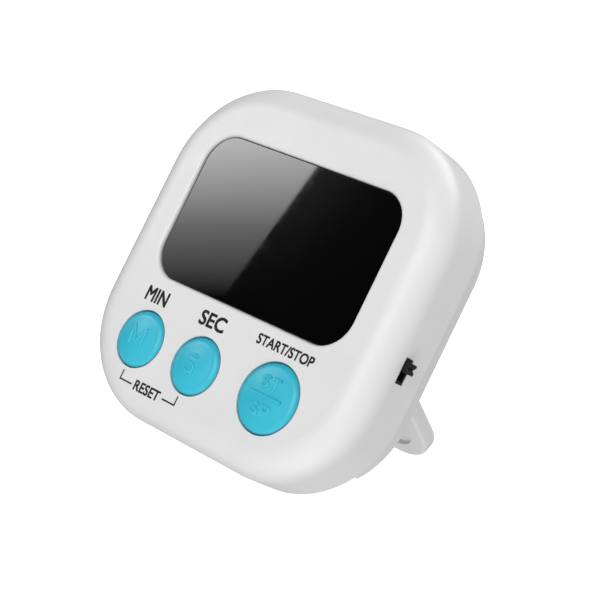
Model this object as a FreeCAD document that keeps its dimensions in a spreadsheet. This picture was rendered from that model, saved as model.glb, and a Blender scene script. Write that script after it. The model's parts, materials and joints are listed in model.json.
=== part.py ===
import FreeCAD, Part
import Sketcher
import math
import os
import re

# Digital kitchen timer on its fold-out stand, in millimetres.
# The case is modelled upright: X to the right, Y from the front face (y = 0) to the rear, Z up,
# with the origin in the middle of the front face. Every piece is then leaned back by the same
# angle, so that the case edge and the tip of the open stand rest on the plane Z = 0.

os.makedirs("parts", exist_ok=True)
doc = FreeCAD.newDocument("KitchenTimer")

SIZES = {
    # case
    "case_width": 65.0,
    "case_height": 65.0,
    "corner_radius": 19.6,
    "parting_depth": 5.3,
    "main_depth": 12.6,
    "overall_depth": 17.5,
    "plateau_inset": 2.1,
    "wall": 1.8,
    "front_round": 5.0,
    "inside_round": 2.0,
    "edge_round": 0.8,
    "rim_step": 0.4,
    # display
    "window_width": 46.9,
    "window_height": 28.3,
    "window_radius": 6.0,
    "window_rise": 6.55,
    "window_round": 0.6,
    "lens_recess": 0.7,
    "lens_thickness": 1.0,
    "lens_clearance": 0.1,
    "lens_chamfer": 0.1,
    "ledge_width": 1.45,
    "ledge_depth": 2.8,
    "glass_side_overlap": 1.55,
    "glass_end_overlap": 1.35,
    "glass_thickness": 2.0,
    "glass_corner": 0.1,
    "frame_width": 1.0,
    "strip_margin": 3.0,
    "strip_inset": 0.1,
    "strip_thickness": 2.0,
    # keys
    "key_radius": 5.2,
    "start_radius": 6.2,
    "key_clearance": 0.25,
    "key_proud": 1.0,
    "key_dome": 0.7,
    "key_drop": 19.5,
    "minute_offset": 17.5,
    "second_offset": 3.0,
    "start_offset": 14.6,
    "start_drop": 18.9,
    "flange_width": 0.8,
    "flange_thickness": 0.8,
    "stem_radius": 2.2,
    "stem_end": 5.3,
    "dome_gap": 0.1,
    "dome_radius": 3.4,
    "dome_wall": 0.8,
    "mat_thickness": 0.5,
    "mat_margin": 4.9,
    "mat_top_margin": 4.5,
    "mat_corner": 3.4,
    "mat_clearance": 0.4,
    # board
    "board_gap": 1.6,
    "board_thickness": 1.0,
    "board_side_gap": 6.5,
    "board_top": 0.5,
    "board_bottom": 24.6,
    "board_radius": 8.0,
    "pad_radius": 2.0,
    "pad_thickness": 0.1,
    "blob_radius": 4.0,
    "blob_height": 1.0,
    "blob_round": 0.8,
    "blob_x": 12.0,
    "blob_drop": 12.0,
    "crystal_radius": 0.5,
    "crystal_length": 5.4,
    "crystal_x": 10.2,
    "crystal_drop": 21.3,
    # screws
    "screw_radius": 0.9,
    "screw_head_radius": 1.8,
    "screw_head_height": 1.2,
    "screw_length": 8.0,
    "board_screw_length": 5.0,
    "screw_clearance": 0.1,
    "drive_width": 0.45,
    "drive_depth": 0.6,
    "post_radius": 2.2,
    "back_post_radius": 3.1,
    "lower_screw_x": 9.0,
    "lower_screw_rise": 4.5,
    "upper_screw_x": 17.0,
    "upper_screw_drop": 6.5,
    "board_post_radius": 2.0,
    "board_screw_x": 23.5,
    "board_screw_drop": 12.2,
    "middle_screw_x": 5.5,
    "middle_screw_drop": 14.0,
    # power switch
    "slot_top": 3.0,
    "slot_height": 4.6,
    "slot_depth": 2.2,
    "knob_height": 1.85,
    "knob_depth": 1.5,
    "knob_reach": 1.3,
    "knob_notch": 0.46,
    "knob_clearance": 0.05,
    "nose_clearance": 0.1,
    "switch_gap": 0.6,
    "switch_wall": 0.4,
    "switch_length": 8.4,
    "switch_width": 5.9,
    "switch_travel": 1.5,
    # battery
    "cell_radius": 5.25,
    "cell_length": 44.5,
    "cell_edge": 0.4,
    "cell_rise": 8.5,
    "pole_radius": 1.8,
    "pole_height": 1.2,
    "bay_length": 51.0,
    "bay_height": 11.8,
    "bay_wall": 1.8,
    "bay_corner": 0.9,
    "contact_thickness": 0.4,
    "contact_width": 7.8,
    "contact_corner": 0.8,
    "bump_radius": 2.2,
    "bump_height": 0.6,
    "leaf_width": 4.4,
    "leaf_reach": 3.7,
    "leaf_crown": 0.6,
    "leaf_return": 1.8,
    "door_thickness": 1.2,
    "door_margin": 1.7,
    "door_corner": 3.35,
    "door_clearance": 0.15,
    "skirt_depth": 1.2,
    "skirt_thickness": 0.6,
    "skirt_corner": 0.15,
    "grip_width": 0.6,
    "grip_length": 5.2,
    "grip_depth": 0.4,
    "grip_pitch": 2.7,
    "grip_inset": 1.8,
    # stand
    "stand_recess": 0.1,
    "stand_width": 51.2,
    "stand_length": 25.9,
    "stand_thickness": 3.2,
    "stand_corner": 9.0,
    "stand_edge": 0.8,
    "stand_clearance": 0.3,
    "stand_side_clearance": 0.4,
    "stand_rim": 3.2,
    "tray_depth": 0.8,
    "tray_end": 3.2,
    "hinge_height": 27.0,
    "open_angle": 66.4,
    "pin_radius": 1.0,
    "pin_length": 2.1,
    "pin_clearance": 0.05,
    "magnet_radius": 4.0,
    "magnet_thickness": 1.8,
    "magnet_offset": 14.8,
    "magnet_from_tip": 8.0,
    "magnet_clearance": 0.15,
    "foot_flat": 0.15,
    # sound
    "buzzer_radius": 10.0,
    "buzzer_x": 12.0,
    "buzzer_drop": 12.0,
    "buzzer_thickness": 0.3,
    "ceramic_radius": 7.0,
    "ceramic_thickness": 0.3,
    "sound_hole_radius": 0.6,
    "sound_hole_pitch": 1.8,
}

# The board keeps its distance from the inside of the rear wall, and so clears the buzzer on it.
FOLLOWING = {
    "board_depth": "=main_depth - wall - board_gap - board_thickness",
}

sheet = doc.addObject("Spreadsheet::Sheet", "Sizes")
CELLS = SIZES | FOLLOWING
for row, (alias, content) in enumerate(CELLS.items(), start=1):
    sheet.set(f"A{row}", alias)
    sheet.set(f"B{row}", str(content))
    sheet.setAlias(f"B{row}", alias)
doc.recompute()

# Places that follow from the sizes, as expressions.
WINDOW_Z = "window_rise"
KEYS = {
    "minute": ("-minute_offset", "-key_drop", "key_radius"),
    "second": ("-second_offset", "-key_drop", "key_radius"),
    "start_stop": ("start_offset", "-start_drop", "start_radius"),
}
HINGE_Z = "(hinge_height - case_height / 2)"
RIM_DEPTH = "(overall_depth - rim_step)"
STAND_REAR = f"({RIM_DEPTH} - stand_recess)"
STAND_FRONT = f"({STAND_REAR} - stand_thickness)"
POCKET_FLOOR = f"({STAND_FRONT} - stand_clearance)"
STAND_TIP = f"({HINGE_Z} - stand_length)"
HINGE_Y = f"({STAND_FRONT} + stand_thickness / 2)"
MAGNET_Z = f"({STAND_TIP} + magnet_from_tip)"
BACK_FLOOR = "(main_depth - wall)"
PLATEAU_WIDTH = "(case_width - 2 * plateau_inset)"
PLATEAU_HEIGHT = "(case_height - 2 * plateau_inset)"
PLATEAU_RADIUS = "(corner_radius - plateau_inset)"
GLASS_WIDTH = "(window_width + 2 * glass_side_overlap)"
GLASS_HEIGHT = "(window_height + 2 * glass_end_overlap)"
GLASS_FRONT = "(ledge_depth + lens_clearance)"
GLASS_BACK = f"({GLASS_FRONT} + glass_thickness)"
STRIP_Z = f"({WINDOW_Z} - {GLASS_HEIGHT} / 2 + strip_thickness / 2 + strip_inset)"
BOARD_BACK = "(board_depth + board_thickness)"
HEAD_SEAT = "(main_depth - screw_head_height - screw_clearance)"
LOWER_SCREW_Z = "(lower_screw_rise - case_height / 2)"
UPPER_SCREW_Z = "(case_height / 2 - upper_screw_drop)"
CASE_SCREWS = [
    ("-lower_screw_x", LOWER_SCREW_Z),
    ("lower_screw_x", LOWER_SCREW_Z),
    ("-upper_screw_x", UPPER_SCREW_Z),
    ("upper_screw_x", UPPER_SCREW_Z),
]
BOARD_SCREWS = [
    ("-board_screw_x", "-board_screw_drop"),
    ("board_screw_x", "-board_screw_drop"),
    ("middle_screw_x", "-middle_screw_drop"),
]
DOOR_INNER = "(overall_depth - door_thickness)"
CELL_Y = f"({DOOR_INNER} - door_clearance - cell_radius)"
CELL_END = "(bay_length / 2 - contact_thickness - bump_height)"
SWITCH_OUTER = "(case_width / 2 - wall - switch_gap)"
SLOT_Y = "(parting_depth + slot_depth / 2)"
KNOB_TOP = "(-slot_top - (slot_height - knob_height - switch_travel) / 2)"


def bind(text):
    """An expression on the sheet: every size name gets the sheet's name before it."""
    return re.sub(r"[a-z][a-z0-9_]*", lambda word: prefixed(word.group()), text)


def prefixed(word):
    return "Sizes." + word if word in CELLS else word


def value(text):
    """The number that an expression gives now."""
    return float(sheet.evalExpression(bind(text)))


def new_body(label):
    body = doc.addObject("PartDesign::Body", label)
    body.Label = label
    return body


def new_sketch(body, name, role="XZ_Plane", offset="0"):
    """A sketch on one of the body's origin planes, moved along its normal by an expression.
    On XZ_Plane the offset is counted as depth behind the front face."""
    sketch = body.newObject("Sketcher::SketchObject", name)
    plane = [item for item in body.Origin.OriginFeatures if item.Role == role][0]
    sketch.AttachmentSupport = (plane, "")
    sketch.MapMode = "FlatFace"
    sign = "-" if role == "XZ_Plane" else ""
    sketch.setExpression("AttachmentOffset.Base.z", bind(f"{sign}({offset})"))
    return sketch


def place(sketch, geometry, point, x, z, tag):
    """Hold one point of the sketch at (x, z) from its origin."""
    if x == "0":
        sketch.addConstraint(Sketcher.Constraint("PointOnObject", geometry, point, -2))
    else:
        index = sketch.addConstraint(Sketcher.Constraint("DistanceX", -1, 1, geometry, point, value(x)))
        sketch.renameConstraint(index, tag + "_x")
        sketch.setExpression(f"Constraints.{tag}_x", bind(x))
    if z == "0":
        sketch.addConstraint(Sketcher.Constraint("PointOnObject", geometry, point, -1))
    else:
        index = sketch.addConstraint(Sketcher.Constraint("DistanceY", -1, 1, geometry, point, value(z)))
        sketch.renameConstraint(index, tag + "_z")
        sketch.setExpression(f"Constraints.{tag}_z", bind(z))


def add_circle(sketch, x, z, radius, tag="circle"):
    centre = FreeCAD.Vector(value(x), value(z), 0)
    circle = sketch.addGeometry(Part.Circle(centre, FreeCAD.Vector(0, 0, 1), value(radius)))
    place(sketch, circle, 3, x, z, tag)
    index = sketch.addConstraint(Sketcher.Constraint("Radius", circle, value(radius)))
    sketch.renameConstraint(index, tag + "_radius")
    sketch.setExpression(f"Constraints.{tag}_radius", bind(radius))


def add_polygon(sketch, corners, tag="corner"):
    """A closed outline of straight lines through corners given as pairs of expressions."""
    points = [FreeCAD.Vector(value(x), value(z), 0) for x, z in corners]
    count = len(points)
    lines = []
    for number in range(count):
        segment = Part.LineSegment(points[number], points[(number + 1) % count])
        lines.append(sketch.addGeometry(segment))
    for number in range(count):
        follower = lines[(number + 1) % count]
        sketch.addConstraint(Sketcher.Constraint("Coincident", lines[number], 2, follower, 1))
    for number, (x, z) in enumerate(corners):
        place(sketch, lines[number], 1, x, z, f"{tag}{number}")


def add_rectangle(sketch, left, right, bottom, top, tag="corner"):
    add_polygon(sketch, [(left, bottom), (right, bottom), (right, top), (left, top)], tag)


def add_rounded(sketch, width, height, radius, x="0", z="0", tag="outline"):
    """A rectangle with four equal round corners, centred on (x, z)."""
    half_width = value(width) / 2
    half_height = value(height) / 2
    corner = value(radius)
    middle = FreeCAD.Vector(value(x), value(z), 0)
    flat_x = half_width - corner
    flat_z = half_height - corner
    corners = [(flat_x, -flat_z, 270), (flat_x, flat_z, 0), (-flat_x, flat_z, 90), (-flat_x, -flat_z, 180)]
    arcs = []
    for dx, dz, start in corners:
        circle = Part.Circle(middle + FreeCAD.Vector(dx, dz, 0), FreeCAD.Vector(0, 0, 1), corner)
        arc = Part.ArcOfCircle(circle, math.radians(start), math.radians(start + 90))
        arcs.append(sketch.addGeometry(arc))
    sides = []
    for number in range(4):
        start = sketch.getPoint(arcs[number], 2)
        end = sketch.getPoint(arcs[(number + 1) % 4], 1)
        sides.append(sketch.addGeometry(Part.LineSegment(start, end)))
    for number in range(4):
        follower = arcs[(number + 1) % 4]
        sketch.addConstraint(Sketcher.Constraint("Tangent", arcs[number], 2, sides[number], 1))
        sketch.addConstraint(Sketcher.Constraint("Tangent", sides[number], 2, follower, 1))
    sketch.addConstraint(Sketcher.Constraint("Vertical", sides[0]))
    sketch.addConstraint(Sketcher.Constraint("Horizontal", sides[1]))
    for number in range(1, 4):
        sketch.addConstraint(Sketcher.Constraint("Equal", arcs[0], arcs[number]))
    index = sketch.addConstraint(Sketcher.Constraint("Radius", arcs[0], corner))
    sketch.renameConstraint(index, tag + "_radius")
    sketch.setExpression(f"Constraints.{tag}_radius", bind(radius))
    reach = f"(({width}) / 2 - ({radius}))"
    rise = f"(({height}) / 2 - ({radius}))"
    place(sketch, arcs[0], 3, f"({x}) + {reach}", f"({z}) - {rise}", tag + "_low")
    place(sketch, arcs[2], 3, f"({x}) - {reach}", f"({z}) + {rise}", tag + "_high")


def add_arch(sketch, width, bottom, top, radius):
    """An outline with a straight foot and two equal round corners at the top."""
    half = value(width) / 2
    low = value(bottom)
    high = value(top)
    corner = value(radius)
    arcs = []
    for x, start in ((half - corner, 0), (corner - half, 90)):
        circle = Part.Circle(FreeCAD.Vector(x, high - corner, 0), FreeCAD.Vector(0, 0, 1), corner)
        arc = Part.ArcOfCircle(circle, math.radians(start), math.radians(start + 90))
        arcs.append(sketch.addGeometry(arc))
    foot_left = FreeCAD.Vector(-half, low, 0)
    foot_right = FreeCAD.Vector(half, low, 0)
    crown = sketch.addGeometry(Part.LineSegment(sketch.getPoint(arcs[0], 2), sketch.getPoint(arcs[1], 1)))
    left = sketch.addGeometry(Part.LineSegment(sketch.getPoint(arcs[1], 2), foot_left))
    foot = sketch.addGeometry(Part.LineSegment(foot_left, foot_right))
    right = sketch.addGeometry(Part.LineSegment(foot_right, sketch.getPoint(arcs[0], 1)))
    for first, second in ((arcs[0], crown), (crown, arcs[1]), (arcs[1], left), (right, arcs[0])):
        sketch.addConstraint(Sketcher.Constraint("Tangent", first, 2, second, 1))
    sketch.addConstraint(Sketcher.Constraint("Coincident", left, 2, foot, 1))
    sketch.addConstraint(Sketcher.Constraint("Coincident", foot, 2, right, 1))
    sketch.addConstraint(Sketcher.Constraint("Horizontal", crown))
    sketch.addConstraint(Sketcher.Constraint("Vertical", left))
    sketch.addConstraint(Sketcher.Constraint("Equal", arcs[0], arcs[1]))
    index = sketch.addConstraint(Sketcher.Constraint("Radius", arcs[0], corner))
    sketch.renameConstraint(index, "arch_radius")
    sketch.setExpression("Constraints.arch_radius", bind(radius))
    place(sketch, arcs[0], 3, f"{width} / 2 - {radius}", f"{top} - {radius}", "crown")
    place(sketch, foot, 1, f"-{width} / 2", bottom, "foot_left")
    place(sketch, foot, 2, f"{width} / 2", bottom, "foot_right")


def extrude(body, kind, sketch, length, name, midplane=False):
    """A Pad or Pocket of a sketch. On XZ_Plane both run towards the rear of the case."""
    feature = body.newObject(kind, name)
    feature.Profile = sketch
    if midplane:
        feature.Midplane = True
    elif kind == "PartDesign::Pad" and sketch.AttachmentSupport[0][0].Role == "XZ_Plane":
        feature.Reversed = True
    feature.setExpression("Length", bind(length))
    sketch.Visibility = False
    return feature


def pad(body, sketch, length, name, midplane=False):
    return extrude(body, "PartDesign::Pad", sketch, length, name, midplane)


def pocket(body, sketch, length, name, midplane=False):
    """A Pocket that is refused when it takes nothing away."""
    doc.recompute()
    before = body.Shape.Volume
    feature = extrude(body, "PartDesign::Pocket", sketch, length, name, midplane)
    doc.recompute()
    if not body.Shape.Volume < before - 1e-6:
        raise RuntimeError(f"{body.Label}: {name} cuts nothing")
    return feature


def edges_where(shape, chosen):
    return [f"Edge{number}" for number, edge in enumerate(shape.Edges, start=1) if chosen(edge)]


def lies_at_depth(edge, depth):
    box = edge.BoundBox
    return abs(box.YMin - depth) < 1e-4 and abs(box.YMax - depth) < 1e-4


def lies_across(edge, x):
    box = edge.BoundBox
    return abs(box.XMin - x) < 1e-4 and abs(box.XMax - x) < 1e-4


def round_edges(body, radius, name, chosen, kind="PartDesign::Fillet"):
    """A Fillet or Chamfer on the edges of the body that the test picks."""
    doc.recompute()
    base = body.Tip
    names = edges_where(base.Shape, chosen)
    feature = body.newObject(kind, name)
    feature.Base = (base, names)
    feature.setExpression("Radius" if kind == "PartDesign::Fillet" else "Size", bind(radius))
    return feature


def within(edge, half_width, half_height, x=0.0, z=0.0):
    """True for an edge inside a rectangle about (x, z), seen from the front."""
    box = edge.BoundBox
    tall = box.ZMin > z - half_height - 1e-4 and box.ZMax < z + half_height + 1e-4
    return tall and box.XMin > x - half_width - 1e-4 and box.XMax < x + half_width + 1e-4


def make_front_shell():
    body = new_body("front_shell")
    outline = new_sketch(body, "FrontOutline")
    add_rounded(outline, "case_width", "case_height", "corner_radius")
    pad(body, outline, "parting_depth", "FrontBlock")
    round_edges(body, "front_round", "FrontRound", lambda edge: lies_at_depth(edge, 0))
    inside = new_sketch(body, "FrontInside", offset="wall")
    add_rounded(inside, "case_width - 2 * wall", "case_height - 2 * wall", "corner_radius - wall")
    pocket(body, inside, "parting_depth - wall", "FrontCavity")
    wall = value("wall")
    round_edges(body, "inside_round", "FrontInsideRound", lambda edge: lies_at_depth(edge, wall))
    ledge = new_sketch(body, "LedgeOutline", offset="wall / 2")
    add_rounded(ledge, "window_width + 2 * wall", "window_height + 2 * wall",
                "window_radius + wall", z=WINDOW_Z)
    pad(body, ledge, "ledge_depth - wall / 2", "Ledge")
    posts = new_sketch(body, "FrontPosts", offset="wall / 2")
    for number, (x, z) in enumerate(CASE_SCREWS):
        add_circle(posts, x, z, "post_radius", f"post{number}")
    pad(body, posts, "parting_depth - wall / 2", "FrontScrewPosts")
    board_posts = new_sketch(body, "BoardPosts", offset="wall / 2")
    for number, (x, z) in enumerate(BOARD_SCREWS):
        add_circle(board_posts, x, z, "board_post_radius", f"post{number}")
    pad(body, board_posts, "board_depth - wall / 2", "BoardScrewPosts")
    seat = new_sketch(body, "LensSeat")
    add_rounded(seat, "window_width", "window_height", "window_radius", z=WINDOW_Z)
    pocket(body, seat, "lens_recess + lens_thickness", "LensPocket")
    view = new_sketch(body, "ViewOpening")
    add_rounded(view, "window_width - 2 * ledge_width", "window_height - 2 * ledge_width",
                "window_radius - ledge_width", z=WINDOW_Z)
    pocket(body, view, "parting_depth", "ViewPocket")
    holes = new_sketch(body, "KeyHoles")
    for name, (x, z, radius) in KEYS.items():
        add_circle(holes, x, z, f"{radius} + key_clearance", name)
    pocket(body, holes, "parting_depth", "KeyOpenings")
    drills = new_sketch(body, "FrontPilotHoles", offset="wall")
    for number, (x, z) in enumerate(CASE_SCREWS):
        add_circle(drills, x, z, "screw_radius", f"pilot{number}")
    pocket(body, drills, "parting_depth", "FrontPilots")
    board_drills = new_sketch(body, "BoardPilotHoles", offset="wall")
    for number, (x, z) in enumerate(BOARD_SCREWS):
        add_circle(board_drills, x, z, "screw_radius", f"pilot{number}")
    pocket(body, board_drills, "board_depth", "BoardPilots")
    slack = value("window_width") / 2
    height = value("window_height") / 2
    rise = value(WINDOW_Z)
    round_edges(body, "window_round", "WindowRound",
                lambda edge: lies_at_depth(edge, 0) and within(edge, slack, height, z=rise))
    return body


def make_back_shell():
    body = new_body("back_moulding")
    outline = new_sketch(body, "BackOutline", offset="parting_depth")
    add_rounded(outline, "case_width", "case_height", "corner_radius")
    pad(body, outline, "main_depth - parting_depth", "BackBlock")
    depth = value("main_depth")
    round_edges(body, "edge_round", "BackRound", lambda edge: lies_at_depth(edge, depth))
    plateau = new_sketch(body, "PlateauOutline", offset=BACK_FLOOR)
    add_rounded(plateau, PLATEAU_WIDTH, PLATEAU_HEIGHT, PLATEAU_RADIUS)
    pad(body, plateau, "overall_depth - main_depth + wall", "Plateau")
    rear = value("overall_depth")
    round_edges(body, "edge_round", "PlateauRound", lambda edge: lies_at_depth(edge, rear))
    inside = new_sketch(body, "BackInside", offset="parting_depth")
    add_rounded(inside, "case_width - 2 * wall", "case_height - 2 * wall", "corner_radius - wall")
    pocket(body, inside, "main_depth - wall - parting_depth", "BackCavity")
    upper = new_sketch(body, "UpperInside", offset="parting_depth")
    low = f"({HINGE_Z} + stand_thickness / 2 + stand_clearance + wall)"
    high = "(case_height / 2 - plateau_inset - wall)"
    add_arch(upper, f"({PLATEAU_WIDTH} - 2 * wall)", low, high, f"({PLATEAU_RADIUS} - wall)")
    pocket(body, upper, "overall_depth - wall - parting_depth", "UpperCavity")
    posts = new_sketch(body, "BackPosts", offset="parting_depth")
    for number, (x, z) in enumerate(CASE_SCREWS):
        add_circle(posts, x, z, "back_post_radius", f"post{number}")
    pad(body, posts, f"{BACK_FLOOR} - parting_depth + wall / 2", "BackScrewPosts")
    tall_posts = new_sketch(body, "TallPosts", offset=f"{HEAD_SEAT} - wall")
    for number, (x, z) in enumerate(CASE_SCREWS[2:]):
        add_circle(tall_posts, x, z, "screw_head_radius + screw_clearance + wall", f"post{number}")
    pad(body, tall_posts, f"overall_depth - wall / 2 - {HEAD_SEAT} + wall", "CounterborePosts")
    ring = new_sketch(body, "BayWall", offset="parting_depth + wall / 2")
    add_rounded(ring, "bay_length + 2 * bay_wall", "bay_height + 2 * bay_wall",
                "bay_corner + bay_wall", z="cell_rise")
    pad(body, ring, "overall_depth - parting_depth - wall", "BayBlock")
    bay = new_sketch(body, "BayOutline", offset="parting_depth")
    add_rounded(bay, "bay_length", "bay_height", "bay_corner", z="cell_rise")
    pocket(body, bay, "overall_depth", "Bay")
    recess = new_sketch(body, "DoorRecess", offset=DOOR_INNER)
    add_rounded(recess, "bay_length + 2 * (door_margin + door_clearance)",
                "bay_height + 2 * (door_margin + door_clearance)", "door_corner + door_clearance",
                z="cell_rise")
    pocket(body, recess, "overall_depth", "DoorSeat")
    add_stand_pocket(body)
    for name, radius, start, length in (
        ("ScrewHole", "screw_radius + screw_clearance", "parting_depth", "overall_depth"),
        ("HeadHole", "screw_head_radius + screw_clearance", HEAD_SEAT, "overall_depth"),
    ):
        holes = new_sketch(body, name + "Outline", offset=start)
        for number, (x, z) in enumerate(CASE_SCREWS):
            add_circle(holes, x, z, radius, f"hole{number}")
        pocket(body, holes, length, name)
    slot = new_sketch(body, "SwitchSlotOutline", "YZ_Plane", "case_width / 2 - 2 * wall")
    add_rectangle(slot, "parting_depth - wall", "parting_depth + slot_depth", "-slot_top - slot_height",
                  "-slot_top", "slot")
    cut = pocket(body, slot, "case_width", "SwitchSlot")
    cut.Reversed = True
    sound = new_sketch(body, "SoundHoles", offset=BACK_FLOOR)
    for number, (dx, dz) in enumerate([(0, 0), (1, 0), (-1, 0), (0, 1), (0, -1)]):
        x = f"-buzzer_x + {dx} * sound_hole_pitch"
        z = f"-buzzer_drop + {dz} * sound_hole_pitch"
        add_circle(sound, x, z, "sound_hole_radius", f"hole{number}")
    pocket(body, sound, "overall_depth", "SoundOpenings")
    return body


def add_stand_pocket(body):
    """The pocket that the folded stand fills: a flat floor, a round seat about the hinge and a lip
    above it that the open stand leans against."""
    profile = new_sketch(body, "StandPocketProfile", "YZ_Plane")
    seat = "(stand_thickness / 2 + stand_clearance)"
    lip_y = f"({HINGE_Y} + {seat} * cos(open_angle * 1deg))"
    lip_z = f"({HINGE_Z} + {seat} * sin(open_angle * 1deg))"
    far_y = f"({lip_y} + overall_depth * sin(open_angle * 1deg))"
    far_z = f"({lip_z} - overall_depth * cos(open_angle * 1deg))"
    corners = [
        (POCKET_FLOOR, "-case_height"),
        (f"{POCKET_FLOOR} + overall_depth", "-case_height"),
        (far_y, far_z),
        (lip_y, lip_z),
        (POCKET_FLOOR, HINGE_Z),
    ]
    points = [FreeCAD.Vector(value(y), value(z), 0) for y, z in corners]
    lines = []
    for first, second in ((0, 1), (1, 2), (2, 3), (4, 0)):
        lines.append(profile.addGeometry(Part.LineSegment(points[first], points[second])))
    centre = FreeCAD.Vector(value(HINGE_Y), value(HINGE_Z), 0)
    circle = Part.Circle(centre, FreeCAD.Vector(0, 0, 1), value(seat))
    start = math.pi / 2 - math.radians(90 - value("open_angle"))
    arc = profile.addGeometry(Part.ArcOfCircle(circle, start, math.pi))
    for first, second in ((0, 1), (1, 2), (3, 0)):
        profile.addConstraint(Sketcher.Constraint("Coincident", lines[first], 2, lines[second], 1))
    profile.addConstraint(Sketcher.Constraint("Coincident", lines[2], 2, arc, 1))
    profile.addConstraint(Sketcher.Constraint("Coincident", arc, 2, lines[3], 1))
    place(profile, arc, 3, HINGE_Y, HINGE_Z, "hinge")
    for number, line in ((0, 0), (1, 1), (2, 2)):
        place(profile, lines[line], 1, corners[number][0], corners[number][1], f"corner{number}")
    place(profile, arc, 1, lip_y, lip_z, "lip")
    profile.addConstraint(Sketcher.Constraint("Horizontal", arc, 2, arc, 3))
    pocket(body, profile, "stand_width + 2 * stand_side_clearance", "StandPocket", midplane=True)
    rims = new_sketch(body, "RimStep", offset=RIM_DEPTH)
    rim_top = f"({HINGE_Z} + stand_thickness / 2)"
    add_rectangle(rims, "-case_width", "case_width", "-case_height", rim_top, "rim")
    pocket(body, rims, "overall_depth", "RimPocket")
    bore = new_sketch(body, "PinHoleOutline", "YZ_Plane")
    add_circle(bore, HINGE_Y, HINGE_Z, "pin_radius + pin_clearance")
    pocket(body, bore, "stand_width + 2 * (pin_length + pin_clearance)", "PinHoles", midplane=True)


def make_plate(label, depth, thickness, width, height, radius, x="0", z="0"):
    """A flat piece with round corners, parallel to the front face."""
    body = new_body(label)
    outline = new_sketch(body, label.title().replace("_", "") + "Outline", offset=depth)
    add_rounded(outline, width, height, radius, x, z)
    pad(body, outline, thickness, label.title().replace("_", "") + "Plate")
    return body


def make_discs(label, depth, thickness, discs):
    """Round flat pieces of one kind, given as (x, z, radius)."""
    body = new_body(label)
    outline = new_sketch(body, label.title().replace("_", "") + "Outline", offset=depth)
    for number, (x, z, radius) in enumerate(discs):
        add_circle(outline, x, z, radius, f"disc{number}")
    pad(body, outline, thickness, label.title().replace("_", "") + "Disc")
    return body


def make_lens():
    body = make_plate("display_lens", "lens_recess", "lens_thickness", "window_width - 2 * lens_clearance",
                      "window_height - 2 * lens_clearance", "window_radius - lens_clearance", z=WINDOW_Z)
    depth = value("lens_recess")
    round_edges(body, "lens_chamfer", "LensEdge", lambda edge: lies_at_depth(edge, depth),
                "PartDesign::Chamfer")
    return body


def make_lcd_frame():
    body = make_plate("lcd_frame", "ledge_depth", f"{GLASS_BACK} - ledge_depth",
                      f"{GLASS_WIDTH} + 2 * (frame_width + lens_clearance)",
                      f"{GLASS_HEIGHT} + 2 * (frame_width + lens_clearance)", "frame_width", z=WINDOW_Z)
    opening = new_sketch(body, "FrameOpening", offset="ledge_depth")
    add_rounded(opening, f"{GLASS_WIDTH} + 2 * lens_clearance", f"{GLASS_HEIGHT} + 2 * lens_clearance",
                "glass_corner", z=WINDOW_Z)
    pocket(body, opening, "2 * glass_thickness", "FramePocket")
    return body


def make_board():
    height = "(board_bottom + board_top)"
    body = make_plate("circuit_board", "board_depth", "board_thickness", "case_width - 2 * board_side_gap",
                      height, "board_radius", z="(board_top - board_bottom) / 2")
    holes = new_sketch(body, "BoardHoles", offset="board_depth")
    for number, (x, z) in enumerate(BOARD_SCREWS):
        add_circle(holes, x, z, "screw_radius + screw_clearance", f"hole{number}")
    pocket(body, holes, "2 * board_thickness", "BoardHolePocket")
    return body


def make_key(name):
    """A domed key: a cap through the front wall, a flange behind it and a stem to the keypad."""
    x, z, radius = KEYS[name]
    body = new_body(name + "_button")
    cap = new_sketch(body, name + "CapOutline", offset="-key_proud")
    add_circle(cap, x, z, radius)
    pad(body, cap, "key_proud + wall + flange_thickness", name + "Cap")
    proud = -value("key_proud")
    round_edges(body, "key_dome", name + "Dome", lambda edge: lies_at_depth(edge, proud))
    flange = new_sketch(body, name + "FlangeOutline", offset="wall")
    add_circle(flange, x, z, f"{radius} + flange_width")
    pad(body, flange, "flange_thickness", name + "Flange")
    stem = new_sketch(body, name + "StemOutline", offset="wall")
    add_circle(stem, x, z, "stem_radius")
    pad(body, stem, "stem_end - wall", name + "Stem")
    return body


def make_keypad():
    """A rubber mat with a hollow dome under each key."""
    left = "(-minute_offset - mat_margin)"
    right = "(start_offset + mat_margin)"
    low = "(-key_drop - mat_margin)"
    high = "(-key_drop + mat_top_margin)"
    body = make_plate("keypad_mat", "board_depth - pad_thickness - mat_thickness", "mat_thickness",
                      f"({right} - {left})", f"({high} - {low})", "mat_corner", f"({left} + {right}) / 2",
                      f"({high} + {low}) / 2")
    top = "(stem_end + dome_gap)"
    domes = new_sketch(body, "DomeOutlines", offset=top)
    hollows = new_sketch(body, "DomeHollows", offset=f"{top} + dome_wall")
    for name, (x, z, radius) in KEYS.items():
        add_circle(domes, x, z, "dome_radius", name)
        add_circle(hollows, x, z, "dome_radius - dome_wall", name)
    pad(body, domes, f"board_depth - pad_thickness - {top}", "Domes")
    pocket(body, hollows, "board_depth", "DomePockets")
    notch = new_sketch(body, "MatNotch", offset="parting_depth")
    add_circle(notch, "middle_screw_x", "-middle_screw_drop", "board_post_radius + mat_clearance")
    pocket(body, notch, "board_depth", "MatNotchPocket")
    return body


def make_blob():
    discs = [("blob_x", "-blob_drop", "blob_radius")]
    body = make_discs("controller_blob", BOARD_BACK, "blob_height", discs)
    depth = value(f"{BOARD_BACK} + blob_height")
    round_edges(body, "blob_round", "BlobRound", lambda edge: lies_at_depth(edge, depth))
    return body


def make_crystal():
    body = new_body("clock_crystal")
    end = new_sketch(body, "CrystalEnd", "YZ_Plane", "crystal_x")
    add_circle(end, f"{BOARD_BACK} + crystal_radius", "-crystal_drop", "crystal_radius")
    pad(body, end, "crystal_length", "CrystalCan")
    return body


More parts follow.
